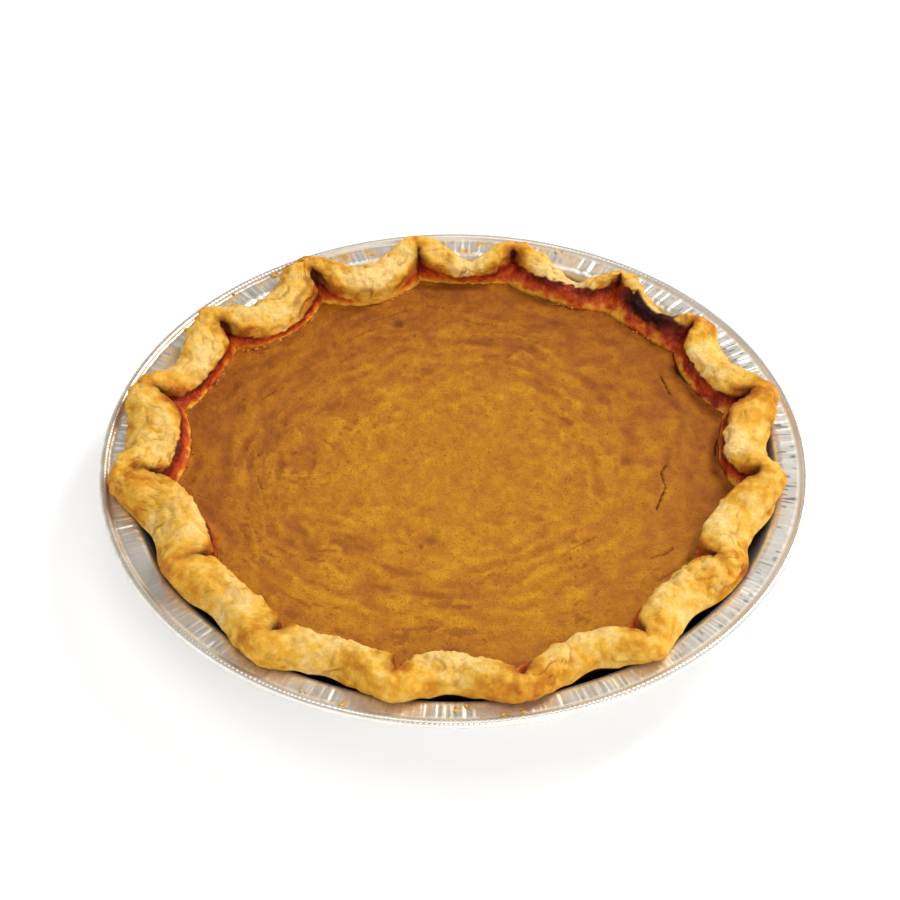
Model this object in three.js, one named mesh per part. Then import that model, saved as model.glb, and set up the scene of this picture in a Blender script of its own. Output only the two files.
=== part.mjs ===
// Pumpkin pie, whole and uncut, in the foil tin that it was baked in.
// Millimetres, +Z up. The origin is on the table, under the middle of the tin.
// Heights are measured from the top of the tin's flat flange until the solids are made.
import * as THREE from 'three';

// Foil tin
const rimRadius = 122;
const beadRadius = 1.5;
const openingRadius = 111;
const baseRadius = 92;
const tinDepth = 30;
const foilThickness = 0.4;
const baseCorner = 0.9;
const rimCorner = 1.6;
const tinSteps = 90;
const beadSteps = 7;
const beadWrap = 150;

// Pastry
const pastryThickness = 5;
const wallThickness = 6;
const wallBend = -12;
const tinGap = 0.4;
const flangeGap = 0.6;
const cornerBelow = -2.2;
const ropeHeight = 9.3;
const ropeHalfWidth = 4.5;
const ropeUndercut = 1.8;
const ropeShoulder = 1.4;
const creaseHeight = 6.6;
const creaseFootRadius = 98;
const creaseFootStep = 2;
const lobeHeight = { least: 5, most: 8.2, perWidth: 0.72 };
const ridgeShare = 0.35;
const notchHeight = 1.5;
const notchUndercut = 0.5;
const pinchDepth = -6;
const pinchGap = 3.5;
const cornerPinchGap = 2.6;
const stepsPerHalfFlute = 5;
const foldSharpness = 0.7;
const lumpSize = 9;
const lumpHeight = 0.45;

// Filling
const fillingLevel = -1.5;
const fillingGap = 0.3;
const swellHeight = 0.35;
const swellLength = 34;
const edgeDrop = 0.4;
const fillingRingShares = [0.94, 0.82, 0.68, 0.52, 0.36, 0.18];

// The hand-pressed flutes, anticlockwise from the right. Angles are in degrees and radii in millimetres.
// bulge: angle of the outward bulge. reach: its outside. crease: the fold on its inside.
// lobe: angle of the inward lobe that follows. lip: its innermost edge. notch: its outside.
// foot: where the lobe's wall meets the filling.
const flutes = [
  { bulge: 14.5, reach: 116.5, crease: 104, lobe: 26, lip: 95.3, notch: 109.5, foot: 92.5 },
  { bulge: 36, reach: 112.8, crease: 105, lobe: 44, lip: 98.5, notch: 106.5, foot: 95.5 },
  { bulge: 55.5, reach: 111.8, crease: 106.5, lobe: 64, lip: 95.5, notch: 103, foot: 93 },
  { bulge: 78, reach: 112.3, crease: 103, lobe: 87, lip: 95.3, notch: 104.5, foot: 96 },
  { bulge: 97.3, reach: 113.5, crease: 101, lobe: 109, lip: 89.5, notch: 105.5, foot: 88.8 },
  { bulge: 119.5, reach: 115.2, crease: 101, lobe: 132, lip: 91, notch: 107.5, foot: 89.5 },
  { bulge: 143, reach: 114.6, crease: 100.5, lobe: 156, lip: 96.3, notch: 110.5, foot: 94.5 },
  { bulge: 165, reach: 117.8, crease: 104.2, lobe: 177.5, lip: 96, notch: 114, foot: 91.5 },
  { bulge: 187.5, reach: 118.6, crease: 101, lobe: 202, lip: 91, notch: 108.5, foot: 88.5 },
  { bulge: 212.5, reach: 113, crease: 96, lobe: 223, lip: 94, notch: 109.4, foot: 92.5 },
  { bulge: 236.5, reach: 116.9, crease: 101, lobe: 248, lip: 96.2, notch: 109.6, foot: 94.5 },
  { bulge: 260, reach: 115.6, crease: 101.2, lobe: 269, lip: 95.4, notch: 109.3, foot: 93.5 },
  { bulge: 281.5, reach: 116.3, crease: 106.5, lobe: 294.5, lip: 96.4, notch: 108.4, foot: 94.5 },
  { bulge: 304.5, reach: 116.2, crease: 104, lobe: 316, lip: 94.5, notch: 108.6, foot: 91.5 },
  { bulge: 328, reach: 111.4, crease: 97.4, lobe: 337, lip: 92, notch: 107.2, foot: 90.5 },
  { bulge: 352.5, reach: 113.2, crease: 102.3, lobe: 360.5, lip: 93.6, notch: 107.2, foot: 91.5 },
];

const mix = THREE.MathUtils.lerp;

// Rises steeply from 0 and rounds off at 1: the run of a fold from its sharp side to its round side.
function foldEase(share) {
  return Math.pow(Math.sin(share * Math.PI / 2), foldSharpness);
}

// Inside radius of the tin's sloping wall at a height above the rim.
function tinWallRadius(height) {
  return mix(openingRadius, baseRadius, -height / tinDepth);
}

// Smooth value noise between -1 and 1, from a hash of the lattice points round (x, y, z).
function latticeValue(x, y, z) {
  const wave = Math.sin(x * 127.1 + y * 311.7 + z * 74.7) * 43758.5453;
  return 2 * (wave - Math.floor(wave)) - 1;
}

function smoothNoise(x, y, z) {
  const corner = [Math.floor(x), Math.floor(y), Math.floor(z)];
  const share = [x - corner[0], y - corner[1], z - corner[2]].map((s) => s * s * (3 - 2 * s));
  let total = 0;
  for (let i = 0; i < 8; i++) {
    const side = [i & 1, (i >> 1) & 1, (i >> 2) & 1];
    const weight = side.reduce((product, s, k) => product * (s ? share[k] : 1 - share[k]), 1);
    total += weight * latticeValue(corner[0] + side[0], corner[1] + side[1], corner[2] + side[2]);
  }
  return total;
}

// Radius at which the filling meets the pastry below a crease.
function creaseFoot(flute) {
  return Math.min(creaseFootRadius, flute.crease - creaseFootStep);
}

// The radii that shape the pastry's rim at each of the angles round the pie.
function rimStations() {
  const stations = [];
  flutes.forEach((flute, i) => {
    const next = flutes[(i + 1) % flutes.length];
    const nextAngle = i + 1 < flutes.length ? next.bulge : next.bulge + 360;
    const halves = [
      { bulge: flute, from: flute.bulge, to: flute.lobe, start: 0 },
      { bulge: next, from: flute.lobe, to: nextAngle, start: 1 },
    ];
    for (const half of halves) {
      for (let k = 0; k < stepsPerHalfFlute; k++) {
        const share = 0.5 - 0.5 * Math.cos(Math.PI * k / stepsPerHalfFlute);
        const towardsLobe = Math.abs(half.start - share);
        const inward = foldEase(towardsLobe);
        const bulging = 0.5 + 0.5 * Math.cos(towardsLobe * Math.PI);
        stations.push({
          angle: THREE.MathUtils.degToRad(mix(half.from, half.to, share)),
          bulging,
          outer: mix(flute.notch, half.bulge.reach, bulging),
          inner: mix(half.bulge.crease, flute.lip, inward),
          foot: mix(creaseFoot(half.bulge), flute.foot, inward),
        });
      }
    }
  });
  return stations;
}

// Guide points of the rim's section at a bulge, from the tin's wall over the rope to the filling.
function bulgeGuides(station) {
  const { outer, inner, foot } = station;
  const middle = outer - ropeHalfWidth;
  return [
    [tinWallRadius(pinchDepth) - tinGap, pinchDepth],
    [tinWallRadius(cornerBelow) - tinGap, cornerBelow],
    [openingRadius + tinGap / 2, flangeGap],
    [outer - ropeUndercut, flangeGap + tinGap],
    [outer, 0.48 * ropeHeight],
    [outer - ropeShoulder, 0.82 * ropeHeight],
    [middle, ropeHeight],
    [mix(middle, inner, 0.6), 0.92 * ropeHeight],
    [inner, creaseHeight],
    [mix(inner, foot, 0.45), 0.35 * creaseHeight],
    [foot, fillingLevel],
  ];
}

// The same points at a lobe, where the rope leans in and leaves a gap to the tin's corner.
function lobeGuides(station) {
  const { outer, inner, foot } = station;
  const inTin = Math.min(outer, openingRadius);
  const ridge = mix(inner, outer, ridgeShare);
  const height = THREE.MathUtils.clamp(
    lobeHeight.perWidth * (outer - inner), lobeHeight.least, lobeHeight.most);
  return [
    [tinWallRadius(pinchDepth) - pinchGap, pinchDepth],
    [inTin - cornerPinchGap, cornerBelow],
    [inTin - notchUndercut, flangeGap],
    [outer, notchHeight],
    [mix(ridge, outer, 0.8), 0.48 * height],
    [mix(ridge, outer, 0.45), 0.84 * height],
    [ridge, height],
    [mix(ridge, inner, 0.65), 0.9 * height],
    [inner, 0.62 * height],
    [mix(inner, foot, 0.5), 0.2 * height],
    [foot, fillingLevel],
  ];
}

// A smooth line through the guide points, with an extra point between each two that show.
function smoothSection(guides) {
  const points = guides.map(([radius, height]) => new THREE.Vector3(radius, height, 0));
  const curve = new THREE.CatmullRomCurve3(points, false, 'centripetal');
  const last = 2 * (guides.length - 1);
  const steps = Array.from({ length: last + 1 }, (_, i) => i).filter((i) => i % 2 === 0 || i > 4);
  return steps.map((i) => {
    const point = curve.getPoint(i / last);
    return clearOfTin([point.x, point.y]);
  });
}

// Keeps a point of the rim's section inside the tin's wall or above its flange.
function clearOfTin([radius, height]) {
  if (radius > openingRadius) {
    return [radius, Math.max(height, flangeGap)];
  }
  const wall = tinWallRadius(Math.min(height, 0)) - tinGap;
  return [height < flangeGap ? Math.min(radius, wall) : radius, height];
}

// Lumps of the baked dough, none where it lies on the tin or meets the filling.
function addLumps(section, angle) {
  return section.map(([radius, height], i) => {
    const free = Math.min(1, Math.max(0, (i - 3) / 3), Math.max(0, (section.length - 1 - i) / 3));
    const x = radius * Math.cos(angle) / lumpSize;
    const y = radius * Math.sin(angle) / lumpSize;
    const lump = free * lumpHeight * smoothNoise(x, y, height / lumpSize);
    return [radius + 0.6 * lump, height + lump];
  });
}

function pastrySection(station) {
  const bulge = bulgeGuides(station);
  const lobe = lobeGuides(station);
  const guides = bulge.map(([radius, height], i) => clearOfTin([
    mix(lobe[i][0], radius, station.bulging),
    mix(lobe[i][1], height, station.bulging),
  ]));
  const floorHeight = foilThickness + tinGap - tinDepth;
  const inner = pastryInside();
  return [
    [0, floorHeight],
    [baseRadius - baseCorner - tinGap, floorHeight],
    [tinWallRadius(wallBend) - tinGap, wallBend],
    ...addLumps(smoothSection(guides), station.angle),
    [inner.bendRadius, wallBend],
    [inner.floorRadius, inner.floorHeight],
    [0, inner.floorHeight],
  ];
}

// Where the pastry's hidden inside face runs, below the filling.
function pastryInside() {
  return {
    bendRadius: tinWallRadius(wallBend) - tinGap - wallThickness,
    floorRadius: baseRadius - tinGap - pastryThickness,
    floorHeight: foilThickness + tinGap + pastryThickness - tinDepth,
  };
}

function fillingSection(station) {
  const inner = pastryInside();
  const edge = station.foot - fillingGap;
  const x = Math.cos(station.angle);
  const y = Math.sin(station.angle);
  const top = fillingRingShares.map((ringShare) => {
    const ringRadius = ringShare * edge;
    const swell = smoothNoise(ringRadius * x / swellLength, ringRadius * y / swellLength, 0);
    return [ringRadius, fillingLevel + swellHeight * swell];
  });
  return [
    [0, inner.floorHeight + fillingGap],
    [inner.floorRadius - fillingGap, inner.floorHeight + fillingGap],
    [inner.bendRadius - fillingGap, wallBend],
    [edge, fillingLevel - edgeDrop],
    ...top,
    [0, fillingLevel],
  ];
}

function tinSection() {
  const wall = foilThickness;
  const bead = Array.from({ length: beadSteps }, (_, i) => {
    const turn = THREE.MathUtils.degToRad(mix(-beadWrap, beadWrap, i / (beadSteps - 1)));
    const middle = rimRadius - beadRadius;
    return [middle + beadRadius * Math.cos(turn), -0.5 * wall + beadRadius * Math.sin(turn)];
  });
  return [
    [0, -tinDepth],
    [baseRadius - baseCorner, -tinDepth],
    [tinWallRadius(baseCorner - tinDepth) + wall, baseCorner - tinDepth],
    [tinWallRadius(-rimCorner) + wall, -wall - rimCorner],
    [openingRadius + rimCorner, -wall],
    [bead[0][0] - wall, -wall],
    ...bead,
    [bead[beadSteps - 1][0] - wall, 0],
    [openingRadius + rimCorner, 0],
    [openingRadius + wall / 4, -0.3 * rimCorner],
    [tinWallRadius(-rimCorner), -rimCorner],
    [tinWallRadius(baseCorner + wall - tinDepth), baseCorner + wall - tinDepth],
    [baseRadius - baseCorner, wall - tinDepth],
    [0, wall - tinDepth],
  ];
}

// A closed solid from one section for each angle. Each section runs from the axis at the bottom,
// round the outside, and back to the axis at the top. Each four-sided face is split from its corner
// that is further along the section at the next angle, or, where splitBack is true, at this angle.
function turnedSolid(angles, sections, splitBack = false) {
  const rings = sections[0].length - 2;
  const positions = [0, 0, sections[0][0][1] + tinDepth];
  angles.forEach((angle, i) => {
    for (const [radius, height] of sections[i].slice(1, -1)) {
      positions.push(radius * Math.cos(angle), radius * Math.sin(angle), height + tinDepth);
    }
  });
  positions.push(0, 0, sections[0][rings + 1][1] + tinDepth);
  const top = positions.length / 3 - 1;
  const faces = [];
  angles.forEach((_, i) => {
    const here = 1 + i * rings;
    const next = 1 + ((i + 1) % angles.length) * rings;
    faces.push(0, next, here);
    for (let k = 0; k + 1 < rings; k++) {
      if (splitBack) {
        faces.push(here + k, next + k, here + k + 1);
        faces.push(next + k, next + k + 1, here + k + 1);
      } else {
        faces.push(here + k, next + k, next + k + 1);
        faces.push(here + k, next + k + 1, here + k + 1);
      }
    }
    faces.push(here + rings - 1, next + rings - 1, top);
  });
  const geometry = new THREE.BufferGeometry();
  geometry.setAttribute('position', new THREE.Float32BufferAttribute(positions, 3));
  geometry.setIndex(faces);
  geometry.computeVertexNormals();
  return geometry;
}

function addPiece(group, name, geometry, finish) {
  const mesh = new THREE.Mesh(geometry, new THREE.MeshStandardMaterial(finish));
  mesh.name = name;
  group.add(mesh);
}

const stations = rimStations();
const stationAngles = stations.map((station) => station.angle);
const tinAngles = Array.from({ length: tinSteps }, (_, i) => 2 * Math.PI * i / tinSteps);

const pie = new THREE.Group();
addPiece(pie, 'foil_tin', turnedSolid(tinAngles, tinAngles.map(tinSection)),
  { color: 0xc9c9c6, roughness: 0.35, metalness: 1 });
addPiece(pie, 'crust', turnedSolid(stationAngles, stations.map(pastrySection)),
  { color: 0xdca650, roughness: 0.8, metalness: 0 });
addPiece(pie, 'filling', turnedSolid(stationAngles, stations.map(fillingSection), true),
  { color: 0xb3701c, roughness: 0.55, metalness: 0 });

export default pie;
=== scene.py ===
"""Looks of a whole pumpkin pie in its foil tin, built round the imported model.

Shapes are worked out in millimetres, heights from the top of the tin's flat flange, as in the model.
"""

import math
from collections import namedtuple

import bmesh
import bpy
import numpy as np
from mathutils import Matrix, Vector


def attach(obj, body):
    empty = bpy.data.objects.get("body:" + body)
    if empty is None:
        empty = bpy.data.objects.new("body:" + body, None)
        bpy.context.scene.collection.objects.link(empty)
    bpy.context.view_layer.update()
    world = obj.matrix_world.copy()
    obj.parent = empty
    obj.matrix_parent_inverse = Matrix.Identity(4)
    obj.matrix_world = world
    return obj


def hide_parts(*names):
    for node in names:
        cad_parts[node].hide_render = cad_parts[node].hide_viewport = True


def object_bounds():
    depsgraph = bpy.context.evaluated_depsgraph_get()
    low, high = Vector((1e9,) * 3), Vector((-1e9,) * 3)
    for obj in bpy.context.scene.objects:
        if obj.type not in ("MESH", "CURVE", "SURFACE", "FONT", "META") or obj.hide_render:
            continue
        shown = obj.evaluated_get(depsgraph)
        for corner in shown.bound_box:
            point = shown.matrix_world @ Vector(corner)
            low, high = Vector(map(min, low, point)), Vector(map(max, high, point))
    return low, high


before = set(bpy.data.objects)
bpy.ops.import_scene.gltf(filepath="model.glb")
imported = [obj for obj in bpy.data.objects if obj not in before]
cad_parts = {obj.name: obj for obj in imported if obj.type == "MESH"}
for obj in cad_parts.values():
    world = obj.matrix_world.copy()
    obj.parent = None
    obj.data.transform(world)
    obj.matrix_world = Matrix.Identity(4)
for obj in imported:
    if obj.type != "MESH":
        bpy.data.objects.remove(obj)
cad_low, cad_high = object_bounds()

MM = 0.001
TAU = 2 * math.pi
# Odd factors that scatter the values of the noise
HASH_X, HASH_Y, HASH_Z, HASH_SCALE = 127.1, 311.7, 74.7, 43758.5453
# Where the Mix node has its sockets for colours
MIX_SHARE, MIX_A, MIX_B, MIX_RESULT = 0, 6, 7, 2

# Foil tin
RIM_RADIUS = cad_high.x / MM
BEAD_RADIUS = 1.5
OPENING_RADIUS = 111
BASE_RADIUS = 92
TIN_DEPTH = 30
FOIL_THICKNESS = 0.4
BASE_CORNER = 0.9
RIM_CORNER = 1.6
TIN_STATIONS = 1920
FLANGE_WRINKLE = 0.34
PLEATS = 180
WALL_PLEAT = 0.26
BEAD_NOTCHES = 480
BEAD_NOTCH_DEPTH = 0.11
BEAD_SWEEP, BEAD_SIDES = 150, 13
FLANGE_RINGS, WALL_RINGS, SLOPE_RINGS = 9, 9, 4
SLOPE_END = -8
GROOVE_INSET, GROOVE_WIDTH = 3.4, 0.9

# Pastry
PASTRY_THICKNESS = 5
WALL_THICKNESS = 6
WALL_BEND = -12
TIN_GAP = 0.4
FLANGE_GAP = 0.6
CORNER_BELOW = -2.2
ROPE_HEIGHT = 9.3
ROPE_HALF_WIDTH = 4.5
ROPE_UNDERCUT = 1.8
ROPE_SHOULDER = 1.4
CREASE_HEIGHT = 6.6
CREASE_FOOT_RADIUS = 98
CREASE_FOOT_STEP = 2
LOBE_LEAST, LOBE_MOST, LOBE_PER_WIDTH = 5, 8.2, 0.72
RIDGE_SHARE = 0.35
NOTCH_HEIGHT = 1.5
NOTCH_UNDERCUT = 0.5
PINCH_DEPTH = -6
PINCH_GAP = 3.5
CORNER_PINCH_GAP = 2.6
FOLD_SHARPNESS = 0.7
LUMP_SIZE = 9
LUMP_HEIGHT = 0.45
WRINKLE_HEIGHT = 1.35
RIB_HEIGHT, RIB_STRETCH = 0.22, 0.2
MM_PER_DEGREE = 1.9
CREVICE_DEPTH = 0.5
SLIT_DEPTH = 3.6
TOP_LIMIT = 10.5
TOP_EASE = 0.9
STEPS_PER_HALF_FLUTE = 40
# Mesh steps from each guide point of the rim's section to the next, from the tin's side over the rope to the
# foot of the inner wall. A place along the section is a count of these guide points.
SECTION_STEPS = (3, 3, 4, 8, 8, 8, 8, 9, 9, 10)
FOOT_PLACE = len(SECTION_STEPS)
INSIDE_START, INSIDE_END = 5.4, 6.4
RELIEF_START, RELIEF_EASE, FOOT_EASE = 2.2, 2, 1.5
KNOB_LENGTH = 0.8
# How far the slit, its painted dark shade and the toasting, which is partly painted shade, reach from a
# crease, as shares of the way to the lobe
SLIT_SPREAD, CREASE_SHADE_SPREAD, TOAST_AND_SHADE_SPREAD = 0.22, 0.28, 0.5

# Filling
FILLING_LEVEL = -1.5
SWELL_HEIGHT = 0.35
SWELL_LENGTH = 34
FILLING_STATIONS = 720
FILLING_RINGS = 134
RIPPLE_SPACING = 7.5
RIPPLE_HEIGHT = 0.22
CREST_HEIGHT = 0.22
RIPPLE_RADIUS, RIPPLE_SPREAD = 56, 19
STROKE_HEIGHT = 0.32
SMEAR_DEPTH = 0.1
CRACK_PULL = 1.6
CRACK_CROWDING = 0.3
CRACK_WIDTH = 0.52
RING_CROWDING = 1.15
FILLING_GAP = 0.3
SKIN_DEPTH = 2.2
EDGE_SETTLE = 0.35
EDGE_CLIMB = 0.45
# Between these angles the custard has shrunk back from the wall by about this much.
PULLED_FROM, PULLED_TO, PULL_EASE = 20, 84, 14
EDGE_PULL = 0.9

Flute = namedtuple("Flute", "bulge reach crease lobe lip notch foot")
# The hand-pressed flutes, anticlockwise from the right, in degrees and millimetres, as in the model.
FLUTES = [
    Flute(14.5, 116.5, 104, 26, 95.3, 109.5, 92.5),
    Flute(36, 112.8, 105, 44, 98.5, 106.5, 95.5),
    Flute(55.5, 111.8, 106.5, 64, 95.5, 103, 93),
    Flute(78, 112.3, 103, 87, 95.3, 104.5, 96),
    Flute(97.3, 113.5, 101, 109, 89.5, 105.5, 88.8),
    Flute(119.5, 115.2, 101, 132, 91, 107.5, 89.5),
    Flute(143, 114.6, 100.5, 156, 96.3, 110.5, 94.5),
    Flute(165, 117.8, 104.2, 177.5, 96, 114, 91.5),
    Flute(187.5, 118.6, 101, 202, 91, 108.5, 88.5),
    Flute(212.5, 113, 96, 223, 94, 109.4, 92.5),
    Flute(236.5, 116.9, 101, 248, 96.2, 109.6, 94.5),
    Flute(260, 115.6, 101.2, 269, 95.4, 109.3, 93.5),
    Flute(281.5, 116.3, 106.5, 294.5, 96.4, 108.4, 94.5),
    Flute(304.5, 116.2, 104, 316, 94.5, 108.6, 91.5),
    Flute(328, 111.4, 97.4, 337, 92, 107.2, 90.5),
    Flute(352.5, 113.2, 102.3, 360.5, 93.6, 107.2, 91.5),
]

Bake = namedtuple("Bake", "crease_tide crease_dark lobe_tide lobe_dark glow")
# How high the caramelised custard stands on the pastry at each flute, how dark it is and how bright its
# lower margin, from 0 to 1.
BAKES = [
    Bake(5.5, 1.0, 4.3, 0.75, 0.5),
    Bake(7.0, 1.0, 9.0, 1.0, 0.45),
    Bake(7.0, 1.0, 5.2, 0.7, 0.6),
    Bake(6.0, 0.95, 2.6, 0.6, 0.75),
    Bake(5.5, 0.9, -0.3, 0.0, 1.0),
    Bake(5.0, 0.95, 1.2, 0.6, 0.8),
    Bake(5.0, 0.95, 3.2, 0.95, 0.85),
    Bake(5.0, 0.85, 4.5, 0.9, 0.7),
    Bake(5.5, 0.9, 3.5, 0.9, 0.6),
    Bake(4.0, 0.5, 2.0, 0.5, 0.5),
    Bake(4.0, 0.6, 2.5, 0.6, 0.5),
    Bake(4.0, 0.7, 2.0, 0.6, 0.5),
    Bake(4.0, 0.6, 2.5, 0.6, 0.5),
    Bake(4.0, 0.5, 2.5, 0.5, 0.5),
    Bake(4.0, 0.5, 3.0, 0.6, 0.5),
    Bake(5.0, 0.8, 4.0, 0.8, 0.5),
]
BURN_ANGLE, BURN_SPREAD = 46, 6

# Knobs and flakes on the pastry: angle, place along the section, reach in degrees and rise.
KNOBS = [
    (181.5, 8.2, 1.6, 1.6), (176, 7.6, 2.2, 0.8), (191, 6.2, 2.4, 0.9), (185, 5.4, 2.0, 0.8),
    (141, 7.6, 1.5, 0.9), (236, 6.2, 2.2, 0.9), (229, 5.2, 2.4, 0.7), (214, 5.6, 3.0, 0.8),
    (262, 6.0, 2.6, 0.8), (278, 5.6, 2.4, 0.9), (302, 6.0, 2.6, 0.9), (309, 5.2, 2.2, 0.8),
    (330, 6.2, 2.6, 0.8), (351, 6.0, 2.4, 0.8), (12, 5.8, 2.2, 0.7), (5, 7.8, 1.4, 0.9),
    (101, 6.2, 2.0, 0.6), (115, 7.0, 2.2, 0.6), (160, 6.0, 2.4, 0.7),
]

# Stretches of the wall's foot with specks of custard, from one angle to another, and how many there are.
MARGIN_CRUMBS = [
    (100, 112, 7), (124, 136, 14), (138, 144, 12), (150, 163, 16), (170, 184, 5), (28, 58, 9), (60, 72, 8),
]
# Golden crumbs that lie on the flange, in millimetres from the middle of the pie.
FLANGE_CRUMBS = [
    (0.4, -114.8), (3.6, -115.2), (8.0, -117.3), (15.8, -116.5), (21.2, -115.7), (-48.0, -107.4),
    (-34.8, -112.0), (-97.0, 67.5), (-80.5, 87.5), (-65.5, 99.0), (38.5, 111.5), (70.0, 97.0),
]

# Marks on the filling, in millimetres from the middle of the pie. Each crack is its points, its width and
# its depth, and each pit its place and its size.
CRACKS = [
    ([(72.7, -1.5), (70.9, -5.2), (72.1, -12.8), (70.3, -17.3), (68.5, -22.5)], 0.55, 1.1),
    ([(73.5, 44.3), (74.9, 39.4), (76.3, 34.5)], 0.5, 1.0),
    ([(78.2, 50.0), (79.7, 46.7), (83.1, 41.0), (86.2, 37.7)], 0.9, 1.6),
    ([(65.7, -45.7), (69.9, -44.3), (73.1, -41.4)], 0.5, 0.9),
    ([(36.1, -45.0), (39.3, -42.2), (44.6, -37.8), (47.2, -36.4)], 0.45, 0.4),
    ([(3.7, 75.2), (9.1, 72.9), (14.5, 73.4), (19.4, 75.2)], 0.45, 0.35),
    ([(-31.9, 72.0), (-28.9, 74.7), (-22.9, 77.5), (-17.5, 80.3)], 0.45, 0.4),
    ([(-67.7, 32.0), (-66.2, 33.9), (-63.6, 36.5)], 0.7, 0.5),
    ([(-67.3, -6.8), (-66.9, -9.8), (-66.0, -12.8)], 0.8, 0.6),
    ([(91.4, 11.5), (90.6, 8.2), (90.4, 4.0)], 0.6, 1.0),
]
PITS = [(-14.4, 66.5, 0.9), (-74.5, 32.1, 0.7), (-43.2, -5.2, 0.5), (-36.5, 0.1, 0.6),
        (26.9, 26.6, 0.5), (-67.8, 3.9, 0.8), (-55.0, 66.0, 0.7), (-20.4, 72.4, 2.4)]
# Each dip is its place, its length along the ripples, its width and its depth.
DIPS = [(-59, -0.9, 4, 1.8, 0.5), (-52, -33, 7, 1.6, 0.4), (-48.7, -40.6, 8, 1.7, 0.4),
        (-35, -36.8, 6, 1.6, 0.3), (-30.9, -41.5, 7, 1.5, 0.35), (-20.5, -51.5, 14, 1.7, 0.35),
        (-24.6, -59.6, 9, 1.4, 0.35), (-8, -63, 15, 1.6, 0.4), (29.8, 38.6, 7, 1.9, 0.3),
        (54.8, 38.6, 5, 1.8, 0.4), (-7.8, -37.8, 5, 1.8, 0.35)]
# The blister is its place, its length, its width and its rise.
BLISTER = (68.6, 54.1, 5.2, 3.4, 0.7)

# Camera and studio, in metres and degrees, with the camera's aim in millimetres
CAMERA_DISTANCE = 1.0
CAMERA_ELEVATION = 43.43
CAMERA_AIM = (-1.49, 4.57, TIN_DEPTH)
FOCAL_LENGTH = 115.73
SENSOR_WIDTH = 36
FAR_CLIP = 50
PIE_MIDDLE = (0, 0, 0.03)
# Each soft light is its name, its place, its width, its power and its colour.
LIGHTS = [
    ("key", (1.0, 0.75, 1.3), 0.6, 23, (1.0, 0.97, 0.93)),
    ("top", (-0.3, -0.1, 1.8), 1.2, 7, (1.0, 1.0, 1.0)),
    ("front", (0.6, -1.4, 1.1), 0.9, 10, (1.0, 0.98, 0.95)),
]
WORLD_COLOUR = (1.0, 0.99, 0.97, 1)
WORLD_STRENGTH = 0.2
FLOOR_GLOW = 0.36
FLOOR_SIDES = 96
FLOOR_PROFILE = [(2.0, 0), (2.6, 0.03), (3.3, 0.2), (4.0, 0.6), (4.6, 1.3), (5.0, 2.2), (5.2, 3.4)]


def smoothstep(low, high, value):
    share = np.clip((value - low) / (high - low), 0, 1)
    return share * share * (3 - 2 * share)


def mix(a, b, share):
    return a + (b - a) * share


def bell(value, centre, spread):
    return np.exp(-((value - centre) / spread) ** 2)


def lattice_value(x, y, z):
    wave = np.sin(x * HASH_X + y * HASH_Y + z * HASH_Z) * HASH_SCALE
    return 2 * (wave - np.floor(wave)) - 1


def noise(x, y, z=0.0):
    """Smooth value noise between -1 and 1, from a hash of the lattice points."""
    x, y, z = np.broadcast_arrays(x, y, z)
    corners = [np.floor(v) for v in (x, y, z)]
    shares = [v - c for v, c in zip((x, y, z), corners)]
    shares = [s * s * (3 - 2 * s) for s in shares]
    total = np.zeros(x.shape)
    for i in range(8):
        side = (i & 1, (i >> 1) & 1, (i >> 2) & 1)
        weight = np.ones(x.shape)
        for share, s in zip(shares, side):
            weight *= share if s else 1 - share
        total += weight * lattice_value(*(c + s for c, s in zip(corners, side)))
    return total


def point_noise(points, size, seed=0.0):
    scaled = points / size + seed
    return noise(scaled[..., 0], scaled[..., 1], scaled[..., 2])


def nearest_on_line(x, y, line):
    """Distance of each place to a line of points, and the nearest point of the line."""
    best = np.full(np.shape(x), 1e9)
    near_x, near_y = np.zeros_like(best), np.zeros_like(best)
    for (ax, ay), (bx, by) in zip(line[:-1], line[1:]):
        dx, dy = bx - ax, by - ay
        share = np.clip(((x - ax) * dx + (y - ay) * dy) / (dx * dx + dy * dy), 0, 1)
        foot_x, foot_y = ax + share * dx, ay + share * dy
        distance = np.hypot(x - foot_x, y - foot_y)
        closer = distance < best
        best = np.where(closer, distance, best)
        near_x, near_y = np.where(closer, foot_x, near_x), np.where(closer, foot_y, near_y)
    return best, near_x, near_y


def crowd_at_cracks(x, y):
    """Draws the mesh's places in towards the cracks, so that narrow cracks stay crisp."""
    for line, _, _ in CRACKS:
        distance, near_x, near_y = nearest_on_line(x, y, line)
        pull = mix(CRACK_CROWDING, 1, smoothstep(0, CRACK_PULL, distance))
        x, y = near_x + (x - near_x) * pull, near_y + (y - near_y) * pull
    return x, y


def tin_wall_radius(height):
    return OPENING_RADIUS + (OPENING_RADIUS - BASE_RADIUS) * height / TIN_DEPTH


def fold_ease(share):
    return np.sin(share * np.pi / 2) ** FOLD_SHARPNESS


Stations = namedtuple("Stations", "angle bulging inward outer inner foot tide dark glow")


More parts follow.
